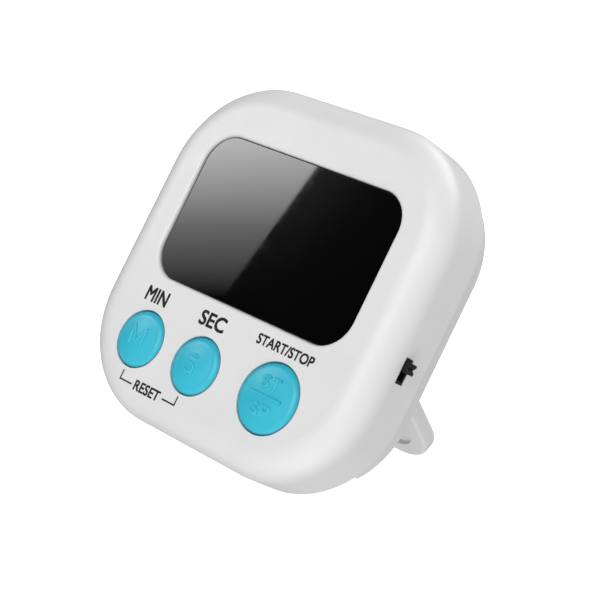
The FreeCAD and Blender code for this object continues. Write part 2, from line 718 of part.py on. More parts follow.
def make_switch_housing():
    """A block on the board with a nose that fills the slot in the side wall, and a track for the slider."""
    body = new_body("switch_housing")
    front = f"({SLOT_Y} - knob_depth / 2 - switch_wall)"
    base = new_sketch(body, "SwitchOutline", offset=front)
    low = "(-slot_top - slot_height / 2 - switch_length / 2)"
    high = "(-slot_top - slot_height / 2 + switch_length / 2)"
    add_rectangle(base, f"({SWITCH_OUTER} - switch_width)", SWITCH_OUTER, low, high, "side")
    pad(body, base, f"board_depth - {front}", "SwitchBlock")
    nose = new_sketch(body, "SwitchNose", "YZ_Plane", f"({SWITCH_OUTER} - wall / 2)")
    add_rectangle(nose, "(parting_depth + nose_clearance)", "(parting_depth + slot_depth - nose_clearance)",
                  "(-slot_top - slot_height + nose_clearance)", "(-slot_top - nose_clearance)", "nose")
    pad(body, nose, f"case_width / 2 - nose_clearance - ({SWITCH_OUTER} - wall / 2)", "SwitchNosePad")
    track = new_sketch(body, "SwitchTrack", "YZ_Plane", "case_width / 2")
    track_front = f"({SLOT_Y} - knob_depth / 2 - knob_clearance)"
    track_rear = f"({SLOT_Y} + knob_depth / 2 + knob_clearance)"
    track_low = f"({KNOB_TOP} - knob_height - switch_travel - knob_clearance)"
    track_high = f"({KNOB_TOP} + knob_clearance)"
    add_rectangle(track, track_front, track_rear, track_low, track_high, "track")
    pocket(body, track, f"case_width / 2 - {SWITCH_OUTER} + switch_width / 2", "SwitchTrackPocket")
    return body


def make_switch_knob():
    """A slider with two ridges, standing out of the slot in the side wall."""
    body = new_body("power_switch_knob")
    inner_x = f"({SWITCH_OUTER} - switch_width / 2 + knob_clearance)"
    stem = new_sketch(body, "KnobOutline", "YZ_Plane", inner_x)
    add_rectangle(stem, f"({SLOT_Y} - knob_depth / 2)", f"({SLOT_Y} + knob_depth / 2)",
                  f"({KNOB_TOP} - knob_height)", KNOB_TOP, "stem")
    pad(body, stem, f"case_width / 2 + knob_reach - {inner_x}", "KnobBlock")
    notch = new_sketch(body, "KnobNotchOutline")
    tip = "(case_width / 2 + knob_reach)"
    beyond = "(case_width / 2 + 2 * knob_reach)"
    middle = f"({KNOB_TOP} - knob_height / 2)"
    low = f"({middle} - knob_notch)"
    high = f"({middle} + knob_notch)"
    bottom = f"({tip} - knob_notch)"
    corners = [(tip, low), (beyond, low), (beyond, high), (tip, high), (bottom, middle)]
    add_polygon(notch, corners, "notch")
    pocket(body, notch, "overall_depth", "KnobNotch")
    return body


def make_cell():
    """An AAA cell lying along X, its positive end to the right."""
    body = new_body("battery_cell")
    start = f"({CELL_END} - cell_length)"
    shoulder = f"({CELL_END} - pole_height)"
    can = new_sketch(body, "CellOutline", "YZ_Plane", start)
    add_circle(can, CELL_Y, "cell_rise", "cell_radius")
    pad(body, can, "cell_length - pole_height", "CellCan")
    ends = (value(start), value(shoulder))
    round_edges(body, "cell_edge", "CellEdges", lambda edge: any(lies_across(edge, x) for x in ends))
    pole = new_sketch(body, "PoleOutline", "YZ_Plane", f"({shoulder} - pole_height)")
    add_circle(pole, CELL_Y, "cell_rise", "pole_radius")
    pad(body, pole, "2 * pole_height", "CellPole")
    return body


def make_positive_contact():
    body = new_body("battery_contact_positive")
    face = new_sketch(body, "PositiveOutline", "YZ_Plane", "(bay_length / 2 - contact_thickness)")
    add_rounded(face, "contact_width", "contact_width", "contact_corner", CELL_Y, "cell_rise")
    pad(body, face, "contact_thickness", "PositivePlate")
    bump = new_sketch(body, "BumpOutline", "YZ_Plane", CELL_END)
    add_circle(bump, CELL_Y, "cell_rise", "bump_radius")
    pad(body, bump, "bump_height", "PositiveBump")
    return body


def make_negative_contact():
    """A plate with a leaf bent out of it that pushes on the flat end of the cell."""
    body = new_body("battery_contact_negative")
    wall_x = "(-bay_length / 2)"
    plate_x = f"({wall_x} + contact_thickness)"
    cell_x = f"({CELL_END} - cell_length)"
    inner_x = f"({cell_x} - contact_thickness)"
    front = f"({CELL_Y} - leaf_reach)"
    rear = f"({CELL_Y} + leaf_reach)"
    crown_front = f"({CELL_Y} - leaf_crown)"
    crown_rear = f"({CELL_Y} + leaf_crown)"
    leaf = new_sketch(body, "LeafProfile", "XY_Plane", "cell_rise - leaf_width / 2")
    add_polygon(leaf, [
        (wall_x, front),
        (plate_x, front),
        (plate_x, f"({rear} - 2 * contact_thickness)"),
        (inner_x, crown_rear),
        (inner_x, crown_front),
        (f"({inner_x} - leaf_return)", front),
        (f"({cell_x} - leaf_return)", front),
        (cell_x, crown_front),
        (cell_x, crown_rear),
        (plate_x, rear),
        (wall_x, rear),
    ], "bend")
    pad(body, leaf, "leaf_width", "Leaf")
    return body


def make_door():
    """A lift-off door with a low skirt inside the bay opening and three grip ribs."""
    body = make_plate("battery_door", DOOR_INNER, "door_thickness", "bay_length + 2 * door_margin",
                      "bay_height + 2 * door_margin", "door_corner", z="cell_rise")
    skirt = new_sketch(body, "SkirtOutline", offset=f"({DOOR_INNER} - skirt_depth)")
    add_rounded(skirt, "bay_length - 2 * door_clearance", "bay_height - 2 * door_clearance",
                "bay_corner - door_clearance", z="cell_rise")
    add_rounded(skirt, "bay_length - 2 * (door_clearance + skirt_thickness)",
                "bay_height - 2 * (door_clearance + skirt_thickness)", "skirt_corner", z="cell_rise",
                tag="inner")
    pad(body, skirt, "skirt_depth", "Skirt")
    grips = new_sketch(body, "GripOutline", offset="overall_depth - grip_depth")
    for number in range(3):
        x = f"(bay_length / 2 - grip_inset - {number} * grip_pitch)"
        add_rectangle(grips, f"({x} - grip_width)", x, "(cell_rise - grip_length / 2)",
                      "(cell_rise + grip_length / 2)", f"grip{number}")
    pocket(body, grips, "overall_depth", "GripGrooves")
    return body


def make_stand():
    """The fold-out stand, drawn folded: a shallow tray with two magnet bores, round about its hinge."""
    body = new_body("stand_moulding")
    plate = new_sketch(body, "StandOutline", "YZ_Plane")
    add_rectangle(plate, STAND_FRONT, STAND_REAR, STAND_TIP, HINGE_Z, "plate")
    pad(body, plate, "stand_width", "StandPlate", midplane=True)
    barrel = new_sketch(body, "StandBarrel", "YZ_Plane")
    add_circle(barrel, HINGE_Y, HINGE_Z, "stand_thickness / 2")
    pad(body, barrel, "stand_width", "StandRound", midplane=True)
    half = value("stand_width") / 2
    low = value(STAND_TIP)
    round_edges(body, "stand_corner", "StandCorners", lambda edge: is_corner(edge, half, low))
    faces = (value(STAND_FRONT), value(STAND_REAR))
    hinge_z = value(HINGE_Z)
    round_edges(body, "stand_edge", "StandEdges",
                lambda edge: any(lies_at_depth(edge, y) for y in faces) and edge.CenterOfMass.z < hinge_z)
    tray = new_sketch(body, "TrayOutline", offset=STAND_FRONT)
    tray_length = "(stand_length - stand_rim - tray_end)"
    add_rounded(tray, "stand_width - 2 * stand_rim", tray_length, "stand_corner - stand_rim",
                z=f"({STAND_TIP} + stand_rim + {tray_length} / 2)")
    pocket(body, tray, "tray_depth", "Tray")
    bores = new_sketch(body, "MagnetBores", offset=STAND_FRONT)
    for tag, x in (("left", "-magnet_offset"), ("right", "magnet_offset")):
        add_circle(bores, x, MAGNET_Z, "magnet_radius + magnet_clearance", tag)
    pocket(body, bores, "tray_depth + magnet_thickness", "MagnetHoles")
    pins = new_sketch(body, "PinOutline", "YZ_Plane")
    add_circle(pins, HINGE_Y, HINGE_Z, "pin_radius")
    pad(body, pins, "stand_width + 2 * pin_length", "HingePins", midplane=True)
    return body


def is_corner(edge, half, low):
    box = edge.BoundBox
    flat = box.XLength < 1e-4 and box.ZLength < 1e-4
    return flat and abs(abs(box.XMin) - half) < 1e-4 and abs(box.ZMin - low) < 1e-4


def make_magnets():
    discs = [(x, MAGNET_Z, "magnet_radius") for x in ("-magnet_offset", "magnet_offset")]
    return make_discs("stand_magnets", f"({STAND_FRONT} + tray_depth)", "magnet_thickness", discs)


def make_screws(label, places, seat, length):
    """Slotted pan-head screws entering from the rear."""
    screws = []
    for number, (x, z) in enumerate(places):
        shank = doc.addObject("Part::Cylinder", f"{label}_shank{number}")
        shank.setExpression("Radius", bind("screw_radius"))
        shank.setExpression("Height", bind(length))
        head = doc.addObject("Part::Cylinder", f"{label}_head{number}")
        head.setExpression("Radius", bind("screw_head_radius"))
        head.setExpression("Height", bind("screw_head_height"))
        drive = doc.addObject("Part::Box", f"{label}_drive{number}")
        drive.setExpression("Length", bind("2 * screw_head_radius"))
        drive.setExpression("Width", bind("drive_width"))
        drive.setExpression("Height", bind("drive_depth"))
        for piece, depth in ((shank, f"{seat} - {length}"), (head, seat)):
            piece.setExpression("Placement.Base.x", bind(x))
            piece.setExpression("Placement.Base.y", bind(depth))
            piece.setExpression("Placement.Base.z", bind(z))
            piece.Placement.Rotation = FreeCAD.Rotation(FreeCAD.Vector(1, 0, 0), -90)
        drive.Placement.Rotation = FreeCAD.Rotation(FreeCAD.Vector(1, 0, 0), -90)
        drive.setExpression("Placement.Base.x", bind(f"{x} - screw_head_radius"))
        drive.setExpression("Placement.Base.y", bind(f"{seat} + screw_head_height - drive_depth"))
        drive.setExpression("Placement.Base.z", bind(f"{z} + drive_width / 2"))
        whole = doc.addObject("Part::Fuse", f"{label}_whole{number}")
        whole.Base = shank
        whole.Tool = head
        screw = doc.addObject("Part::Cut", f"{label}_screw{number}")
        screw.Base = whole
        screw.Tool = drive
        screws.append(screw)
    group = doc.addObject("Part::Compound", label)
    group.Links = screws
    group.Label = label
    return group


def lean():
    """The tilt of the case, and the lift that puts its lowest edge on Z = 0, with the stand open."""
    angle = math.radians(value("open_angle"))
    case_round = value("edge_round")
    tip_round = value("stand_edge")
    case_y = value("main_depth") - case_round
    case_z = case_round - value("case_height") / 2
    along = value("stand_length") - tip_round
    across = value("stand_thickness") / 2 - tip_round
    tip_y = value(HINGE_Y) + along * math.sin(angle) - across * math.cos(angle)
    tip_z = value(HINGE_Z) - along * math.cos(angle) - across * math.sin(angle)
    reach = math.hypot(tip_y - case_y, tip_z - case_z)
    tilt = math.atan2(tip_z - case_z, tip_y - case_y) - math.asin((tip_round - case_round) / reach)
    drop = case_z * math.cos(tilt) - case_y * math.sin(tilt) - case_round
    return tilt, -drop - value("foot_flat")


def make_resting_flat(moulding, label):
    """The piece with a narrow flat where its round edge stands on the ground."""
    rested = doc.addObject("Part::Cut", label)
    rested.Base = moulding
    rested.Tool = ground
    rested.Label = label
    return rested


back_moulding = make_back_shell()
stand_moulding = make_stand()
PARTS = [
    make_front_shell(),
    make_lens(),
    make_lcd_frame(),
    make_plate("lcd_glass", GLASS_FRONT, "glass_thickness", GLASS_WIDTH, GLASS_HEIGHT, "glass_corner",
               z=WINDOW_Z),
    make_plate("lcd_contact_strip", GLASS_BACK, f"board_depth - {GLASS_BACK}",
               f"{GLASS_WIDTH} - 2 * strip_margin", "strip_thickness", "glass_corner", z=STRIP_Z),
    make_board(),
    make_discs("contact_pads", "board_depth - pad_thickness", "pad_thickness",
               [(x, z, "pad_radius") for x, z, radius in KEYS.values()]),
    make_blob(),
    make_crystal(),
    make_keypad(),
    make_discs("buzzer_disc", f"{BACK_FLOOR} - buzzer_thickness", "buzzer_thickness",
               [("-buzzer_x", "-buzzer_drop", "buzzer_radius")]),
    make_discs("buzzer_ceramic", f"{BACK_FLOOR} - buzzer_thickness - ceramic_thickness", "ceramic_thickness",
               [("-buzzer_x", "-buzzer_drop", "ceramic_radius")]),
    make_switch_housing(),
    make_switch_knob(),
    make_cell(),
    make_positive_contact(),
    make_negative_contact(),
    make_door(),
    make_screws("case_screws", CASE_SCREWS, HEAD_SEAT, "screw_length"),
    make_screws("board_screws", BOARD_SCREWS, BOARD_BACK, "board_screw_length"),
]
PARTS += [make_key(name) for name in KEYS]
stand_magnets = make_magnets()
doc.recompute()

tilt, lift = lean()
sideways = FreeCAD.Vector(1, 0, 0)
backwards = FreeCAD.Rotation(sideways, -math.degrees(tilt))
upright = FreeCAD.Placement(FreeCAD.Vector(0, 0, lift), backwards)
hinge = FreeCAD.Vector(0, value(HINGE_Y), value(HINGE_Z))
opening = FreeCAD.Placement(FreeCAD.Vector(), FreeCAD.Rotation(sideways, value("open_angle")), hinge)


def place_all(leaning):
    """Put every piece on the ground as one leaning object, with the stand swung open."""
    for part in PARTS + [back_moulding]:
        part.Placement = leaning
    for part in (stand_moulding, stand_magnets):
        part.Placement = leaning.multiply(opening)
    doc.recompute()


place_all(upright)
moulded = [part.Shape for part in PARTS + [back_moulding, stand_moulding]]
extent = Part.makeCompound(moulded).optimalBoundingBox(False)
centring = FreeCAD.Placement(FreeCAD.Vector(-extent.Center.x, -extent.Center.y, 0), FreeCAD.Rotation())
place_all(centring.multiply(upright))

reach = 4 * value("case_width")
ground = doc.addObject("Part::Box", "Ground")
ground.Length = reach
ground.Width = reach
ground.Height = reach
ground.Placement.Base = FreeCAD.Vector(-reach / 2, -reach / 2, -reach)
FINISHED = PARTS + [stand_magnets]
FINISHED += [make_resting_flat(back_moulding, "back_shell"), make_resting_flat(stand_moulding, "stand")]
doc.recompute()

for item in doc.Objects:
    if "Invalid" in item.State or "Error" in item.State:
        raise RuntimeError(f"{item.Name} failed: {item.State}")
for part in FINISHED:
    if part.Shape.isNull() or not part.Shape.isValid():
        raise RuntimeError(f"{part.Label} has no valid shape")
    part.Shape.exportStep(f"parts/{part.Label}.step")
    print(part.Label, len(part.Shape.Solids), round(part.Shape.Volume, 2))
centre = extent.Center
print("lean in degrees, lift and centring in mm:", math.degrees(tilt), lift, centre.x, centre.y)
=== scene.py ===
"""Looks of the kitchen timer: materials, printed and raised markings, domed keys, light and camera."""

import json
import math

import bpy
from mathutils import Matrix, Vector


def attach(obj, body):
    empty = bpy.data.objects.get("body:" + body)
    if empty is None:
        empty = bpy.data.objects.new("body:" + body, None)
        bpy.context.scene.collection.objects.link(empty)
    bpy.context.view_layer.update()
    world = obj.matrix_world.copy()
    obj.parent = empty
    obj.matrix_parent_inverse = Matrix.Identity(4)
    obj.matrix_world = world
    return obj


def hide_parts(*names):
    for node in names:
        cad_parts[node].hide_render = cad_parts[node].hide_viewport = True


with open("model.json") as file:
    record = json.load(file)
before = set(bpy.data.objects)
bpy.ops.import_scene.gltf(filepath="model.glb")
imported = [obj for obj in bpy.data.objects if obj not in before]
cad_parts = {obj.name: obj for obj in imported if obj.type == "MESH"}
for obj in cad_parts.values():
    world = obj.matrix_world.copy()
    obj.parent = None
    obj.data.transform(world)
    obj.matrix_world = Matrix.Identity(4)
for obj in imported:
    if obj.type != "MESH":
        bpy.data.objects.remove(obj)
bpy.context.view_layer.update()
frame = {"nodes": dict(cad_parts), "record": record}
JOINTS = {joint["name"]: joint for joint in frame["record"]["behaviour"]["joints"]}
MM = 0.001
MICRON = 0.000001

# The case leans back, so pieces are placed in its own directions: right, up along the face, and rear.
RIGHT = Vector((1, 0, 0))
REAR = Vector(JOINTS["minute_press"]["axis"]).normalized()
UP = -Vector(JOINTS["power_slide"]["axis"]).normalized()


def span(node, direction):
    """How far a CAD node reaches along a direction, in metres."""
    reach = [vertex.co.dot(direction) for vertex in frame["nodes"][node].data.vertices]
    return min(reach), max(reach)


def middle(node, direction):
    """The middle of a CAD node along a direction, in metres."""
    low, high = span(node, direction)
    return (low + high) / 2


FACE_X = middle("front_shell", RIGHT)
FACE_UP = middle("front_shell", UP)
FACE_DEPTH = span("front_shell", REAR)[0]
FACE_CENTRE = RIGHT * FACE_X + UP * FACE_UP + REAR * FACE_DEPTH


def on_case(x, up, depth=0.0):
    """A point given in millimetres from the middle of the front face: right, up and towards the rear."""
    return FACE_CENTRE + (RIGHT * x + UP * up + REAR * depth) * MM


def case_matrix(x, up, depth=0.0):
    """Local X to the right, Y up along the face and Z out of the front."""
    turn = Matrix((RIGHT, UP, -REAR)).transposed()
    return Matrix.Translation(on_case(x, up, depth)) @ turn.to_4x4()


# ---------------------------------------------------------------- materials

# Most of a noise texture's values lie between these two.
NOISE_LOW = 0.3
NOISE_HIGH = 0.7
COARSE_DETAIL = 3.0
MEDIUM_DETAIL = 4.0
FINE_DETAIL = 6.0

# Features per metre, and a depth in micrometres.
CLOUD_SCALE = 90.0
GLOSS_SCALE = 420.0
STAIN_SCALE = 300.0
RUB_SCALE = 1500.0
METAL_GRAIN = 5000.0
METAL_GRAIN_DEPTH = 4


def new_material(name, color, roughness, **sockets):
    """One Principled shader; further sockets are given by name, with _ for each space."""
    material = bpy.data.materials.new(name)
    material.use_nodes = True
    shader = material.node_tree.nodes["Principled BSDF"]
    shader.inputs["Base Color"].default_value = (*color, 1)
    shader.inputs["Roughness"].default_value = roughness
    for socket, number in sockets.items():
        shader.inputs[socket.replace("_", " ")].default_value = number
    return material


def add_noise(material, scale, detail=MEDIUM_DETAIL):
    """A noise texture fixed to the object, with scale in features per metre."""
    nodes = material.node_tree.nodes
    links = material.node_tree.links
    place = nodes.new("ShaderNodeTexCoord")
    noise = nodes.new("ShaderNodeTexNoise")
    noise.inputs["Scale"].default_value = scale
    noise.inputs["Detail"].default_value = detail
    links.new(place.outputs["Object"], noise.inputs["Vector"])
    return noise


def vary(material, socket, noise, low, high):
    """Let the noise swing a shader input between two values."""
    nodes = material.node_tree.nodes
    links = material.node_tree.links
    shader = nodes["Principled BSDF"]
    if socket == "Base Color":
        ramp = nodes.new("ShaderNodeValToRGB")
        ramp.color_ramp.elements[0].position = NOISE_LOW
        ramp.color_ramp.elements[1].position = NOISE_HIGH
        ramp.color_ramp.elements[0].color = (*low, 1)
        ramp.color_ramp.elements[1].color = (*high, 1)
        links.new(noise.outputs["Fac"], ramp.inputs["Fac"])
        links.new(ramp.outputs["Color"], shader.inputs[socket])
        return
    spread = nodes.new("ShaderNodeMapRange")
    spread.inputs["From Min"].default_value = NOISE_LOW
    spread.inputs["From Max"].default_value = NOISE_HIGH
    spread.inputs["To Min"].default_value = low
    spread.inputs["To Max"].default_value = high
    links.new(noise.outputs["Fac"], spread.inputs["Value"])
    links.new(spread.outputs["Result"], shader.inputs[socket])


def add_bump(material, noise, depth):
    """Relief from the noise, with its depth in micrometres."""
    nodes = material.node_tree.nodes
    links = material.node_tree.links
    bump = nodes.new("ShaderNodeBump")
    bump.inputs["Strength"].default_value = 1.0
    bump.inputs["Distance"].default_value = depth * MICRON
    links.new(noise.outputs["Fac"], bump.inputs["Height"])
    links.new(bump.outputs["Normal"], nodes["Principled BSDF"].inputs["Normal"])


def plastic(name, low, high, roughness, grain, grain_depth, **sockets):
    """Moulded plastic: slight cloudiness in colour, uneven gloss and a fine spark-eroded grain."""
    material = new_material(name, high, roughness[0], **sockets)
    vary(material, "Base Color", add_noise(material, CLOUD_SCALE), low, high)
    vary(material, "Roughness", add_noise(material, GLOSS_SCALE, FINE_DETAIL), *roughness)
    add_bump(material, add_noise(material, grain, COARSE_DETAIL), grain_depth)
    return material


def metal(name, low, high, roughness):
    """Plated or rolled metal: slight staining, uneven gloss and a very fine grain."""
    material = new_material(name, high, roughness[0], Metallic=1.0)
    vary(material, "Base Color", add_noise(material, STAIN_SCALE), low, high)
    vary(material, "Roughness", add_noise(material, RUB_SCALE, FINE_DETAIL), *roughness)
    add_bump(material, add_noise(material, METAL_GRAIN), METAL_GRAIN_DEPTH)
    return material


# Name, darkest and lightest colour, roughness range, grain per metre and grain depth in micrometres.
WHITE = plastic("white_abs", (0.78, 0.78, 0.777), (0.805, 0.805, 0.803), (0.38, 0.48), 4200.0, 4, IOR=1.5)
LENS = plastic("black_acrylic", (0.0012, 0.0012, 0.0014), (0.002, 0.002, 0.0024), (0.02, 0.04), 900.0, 0.2,
               IOR=1.49)
BLUE = plastic("blue_silicone", (0.030, 0.50, 0.66), (0.045, 0.54, 0.70), (0.30, 0.40), 3800.0, 5, IOR=1.42)
BLACK = plastic("black_moulding", (0.004, 0.004, 0.0045), (0.007, 0.007, 0.0075), (0.5, 0.6), 3000.0, 8,
                Specular_IOR_Level=0.3)
PRINT = plastic("black_print", (0.008, 0.008, 0.009), (0.014, 0.014, 0.015), (0.4, 0.5), 6000.0, 2)
BOARD = plastic("solder_mask", (0.010, 0.09, 0.03), (0.015, 0.13, 0.045), (0.25, 0.4), 2500.0, 10)
EPOXY = plastic("epoxy", (0.006, 0.006, 0.006), (0.012, 0.012, 0.012), (0.15, 0.3), 700.0, 30)
MAT = plastic("clear_silicone", (0.55, 0.57, 0.58), (0.62, 0.64, 0.65), (0.4, 0.5), 2500.0, 10,
              Subsurface_Weight=0.3, Subsurface_Scale=2 * MM)
STRIP = plastic("conductive_rubber", (0.02, 0.02, 0.02), (0.04, 0.04, 0.04), (0.5, 0.6), 2500.0, 10)
GLASS = plastic("display_glass", (0.10, 0.115, 0.10), (0.12, 0.135, 0.12), (0.05, 0.09), 800.0, 1)
CERAMIC = plastic("ceramic", (0.72, 0.70, 0.64), (0.78, 0.76, 0.70), (0.5, 0.65), 4000.0, 20)
CELL = plastic("cell_wrap", (0.02, 0.05, 0.12), (0.025, 0.06, 0.14), (0.22, 0.32), 1200.0, 5)
STEEL = metal("nickel_steel", (0.50, 0.50, 0.49), (0.62, 0.62, 0.61), (0.25, 0.4))
BRASS = metal("brass", (0.62, 0.43, 0.17), (0.74, 0.54, 0.24), (0.28, 0.42))
GOLD = metal("gold_plate", (0.78, 0.56, 0.20), (0.86, 0.64, 0.26), (0.2, 0.3))

NODE_MATERIALS = {
    "front_shell": WHITE, "back_shell": WHITE, "battery_door": WHITE, "stand": WHITE,
    "display_lens": LENS, "lcd_frame": BLACK, "lcd_glass": GLASS, "lcd_contact_strip": STRIP,
    "circuit_board": BOARD, "contact_pads": GOLD, "controller_blob": EPOXY, "clock_crystal": STEEL,
    "keypad_mat": MAT, "buzzer_disc": BRASS, "buzzer_ceramic": CERAMIC, "switch_housing": BLACK,
    "power_switch_knob": BLACK, "battery_cell": CELL, "battery_contact_positive": STEEL,
    "battery_contact_negative": STEEL, "case_screws": STEEL, "board_screws": STEEL,
    "minute_button": BLUE, "second_button": BLUE, "start_stop_button": BLUE, "stand_magnets": STEEL,
}
for node, material in NODE_MATERIALS.items():
    slots = frame["nodes"][node].data.materials
    for number in range(len(slots)):
        slots[number] = material


# ---------------------------------------------------------------- keys

# Millimetres. The flange behind the cap and the stem lie where the CAD key has them.
KEY_CROWN = 0.5
KEY_ROUND = 1.25
KEY_DROP = 1.05
FLANGE_WIDTH = 0.8
FLANGE_FRONT = 1.82
FLANGE_REAR = 2.58
FLANGE_SLOPE_FRONT = 0.07
FLANGE_SLOPE_REAR = 0.02
STEM_RADIUS = 2.2
CROWN_STEPS = 12
ROUND_STEPS = 10
TURN_STEPS = 96


def lathe(name, profile):
    """A closed solid of revolution about local Z through (radius, height) points, in metres."""
    steps = TURN_STEPS
    verts = []
    for radius, height in profile[1:-1]:
        for step in range(steps):
            turn = 2 * math.pi * step / steps
            verts.append((radius * math.cos(turn), radius * math.sin(turn), height))
    rings = len(profile) - 2
    first = len(verts)
    verts.append((0, 0, profile[0][1]))
    last = len(verts)
    verts.append((0, 0, profile[-1][1]))
    faces = []
    for step in range(steps):
        following = (step + 1) % steps
        faces.append((first, step, following))
        for ring in range(rings - 1):
            base = ring * steps
            faces.append((base + step, base + steps + step, base + steps + following, base + following))
        base = (rings - 1) * steps
        faces.append((base + step, last, base + following))
    mesh = bpy.data.meshes.new(name)
    mesh.from_pydata(verts, [], faces)
    mesh.update()
    mesh.shade_smooth()
    piece = bpy.data.objects.new(name, mesh)
    bpy.context.collection.objects.link(piece)
    return piece


def crown_height(radius, reach):
    """Height of the key's crowned top above its rounded edge, at a distance from its axis."""
    return KEY_CROWN * MM * (1 - (reach / radius) ** 2)


def make_key(node, body):
    """A key with a crowned top, in place of the flat-topped CAD key."""
    x = middle(node, RIGHT) - FACE_X
    up = middle(node, UP) - FACE_UP
    top, stem_end = (depth - FACE_DEPTH for depth in span(node, REAR))
    flange = (span(node, RIGHT)[1] - span(node, RIGHT)[0]) / 2
    cap = flange - FLANGE_WIDTH * MM
    flat = cap - KEY_ROUND * MM
    proud = -top
    edge = proud - KEY_CROWN * MM
    profile = [(0, proud)]
    for step in range(1, CROWN_STEPS + 1):
        reach = flat * step / CROWN_STEPS
        profile.append((reach, edge + crown_height(flat, reach)))
    for step in range(1, ROUND_STEPS + 1):
        turn = math.pi / 2 * step / ROUND_STEPS
        profile.append((flat + KEY_ROUND * MM * math.sin(turn), edge - KEY_DROP * MM * (1 - math.cos(turn))))
    profile.append((cap, (FLANGE_SLOPE_FRONT - FLANGE_FRONT) * MM))
    profile.append((flange, -FLANGE_FRONT * MM))
    profile.append((flange, -FLANGE_REAR * MM))
    profile.append((STEM_RADIUS * MM, -(FLANGE_REAR + FLANGE_SLOPE_REAR) * MM))
    profile.append((STEM_RADIUS * MM, -stem_end))
    profile.append((0, -stem_end))
    piece = lathe(node + "_cap", profile)
    piece.matrix_world = case_matrix(x / MM, up / MM)
    piece.data.materials.append(BLUE)
    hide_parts(node)
    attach(piece, body)
    return {"x": x / MM, "up": up / MM, "proud": proud / MM, "flat": flat / MM}


# ---------------------------------------------------------------- markings


def finish_marking(name, mesh, place, material, body):
    """A marking put in place on its body."""
    mesh.materials.clear()
    mesh.materials.append(material)
    piece = bpy.data.objects.new(name, mesh)
    bpy.context.collection.objects.link(piece)
    piece.matrix_world = place
    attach(piece, body)


def add_label(name, words, x, up, height, width):
    """Printed words centred on (x, up), in millimetres, with every stroke widened by copies moved sideways."""
    bold = BOLD_SHARE * height
    curve = bpy.data.curves.new(name, "FONT")
    curve.body = words
    letters = bpy.data.objects.new(name, curve)
    bpy.context.collection.objects.link(letters)
    mesh = bpy.data.meshes.new_from_object(letters)
    bpy.data.objects.remove(letters)
    bpy.data.curves.remove(curve)
    low = [min(vertex.co[axis] for vertex in mesh.vertices) for axis in range(2)]
    high = [max(vertex.co[axis] for vertex in mesh.vertices) for axis in range(2)]
    centre_x = (low[0] + high[0]) / 2
    centre_y = (low[1] + high[1]) / 2
    scale_x = (width - bold) * MM / (high[0] - low[0])
    scale_y = (height - bold) * MM / (high[1] - low[1])
    aside = bold / 2 * MM
    verts = []
    faces = []
    for side_x, side_y in ((-1, -1), (-1, 1), (1, -1), (1, 1), (0, 0)):
        first = len(verts)
        for vertex in mesh.vertices:
            along = (vertex.co.x - centre_x) * scale_x + side_x * aside
            across = (vertex.co.y - centre_y) * scale_y + side_y * aside
            verts.append((along, across, PRINT_HEIGHT * MM))
        faces += [[first + number for number in polygon.vertices] for polygon in mesh.polygons]
    bpy.data.meshes.remove(mesh)
    label = bpy.data.meshes.new(name)
    label.from_pydata(verts, [], faces)
    finish_marking(name, label, case_matrix(x, up), PRINT, "case")


def add_printed_line(name, corners):
    """A thin printed line through corners in millimetres on the front face, with square ends and bends."""
    half = PRINT_LINE / 2
    verts = []
    faces = []
    for start, end in zip(corners, corners[1:]):
        left, right = sorted((start[0], end[0]))
        low, high = sorted((start[1], end[1]))
        first = len(verts)
        outline = [(left - half, low - half), (right + half, low - half)]
        outline += [(right + half, high + half), (left - half, high + half)]
        verts += [(x * MM, up * MM, PRINT_HEIGHT * MM) for x, up in outline]
        faces.append((first, first + 1, first + 2, first + 3))
    mesh = bpy.data.meshes.new(name)
    mesh.from_pydata(verts, [], faces)
    finish_marking(name, mesh, case_matrix(0, 0), PRINT, "case")


def add_raised(name, node, strokes, height, width, x, up):
    """Raised round-topped strokes on a key's crown; strokes are lines through points of a unit square."""
    key = keys[node]
    curve = bpy.data.curves.new(name, "CURVE")
    curve.dimensions = "3D"
    curve.bevel_depth = LETTER_STROKE / 2 * MM
    curve.bevel_resolution = 3
    curve.use_fill_caps = True
    for stroke in strokes:
        route = finer(stroke)
        path = curve.splines.new("POLY")
        path.points.add(len(route) - 1)
        for point, (across, along) in zip(path.points, route):
            place_x = x + (across - 0.5) * width
            place_up = up + (along - 0.5) * height
            reach = math.hypot(place_x, place_up) * MM
            rise = crown_height(key["flat"] * MM, reach) - KEY_CROWN * MM
            point.co = (place_x * MM, place_up * MM, rise, 1)
    shape = bpy.data.objects.new(name, curve)
    bpy.context.collection.objects.link(shape)
    mesh = bpy.data.meshes.new_from_object(shape)
    bpy.data.objects.remove(shape)
    bpy.data.curves.remove(curve)
    mesh.shade_smooth()
    place = case_matrix(key["x"], key["up"], -key["proud"] - LETTER_RELIEF + LETTER_STROKE / 2)
    finish_marking(name, mesh, place, BLUE, KEY_BODIES[node])


def finer(stroke):
    """The same line with more points, so that it can follow a curved surface."""
    points = [stroke[0]]
    for start, end in zip(stroke, stroke[1:]):
        for part in range(1, STROKE_PARTS + 1):
            share = part / STROKE_PARTS
            points.append((start[0] + (end[0] - start[0]) * share, start[1] + (end[1] - start[1]) * share))
    return points


def bend(centre_x, centre_up, radius_x, radius_up, start, end):
    """Points along part of an ellipse, with angles in degrees."""
    points = []
    for step in range(BEND_STEPS + 1):
        turn = math.radians(start + (end - start) * step / BEND_STEPS)
        points.append((centre_x + radius_x * math.cos(turn), centre_up + radius_up * math.sin(turn)))
    return points


# Millimetres, except the shares and counts.
PRINT_HEIGHT = 0.01
PRINT_LINE = 0.3
BOLD_SHARE = 0.07
LETTER_STROKE = 0.7
LETTER_RELIEF = 0.28
STROKE_PARTS = 6
BEND_STEPS = 12

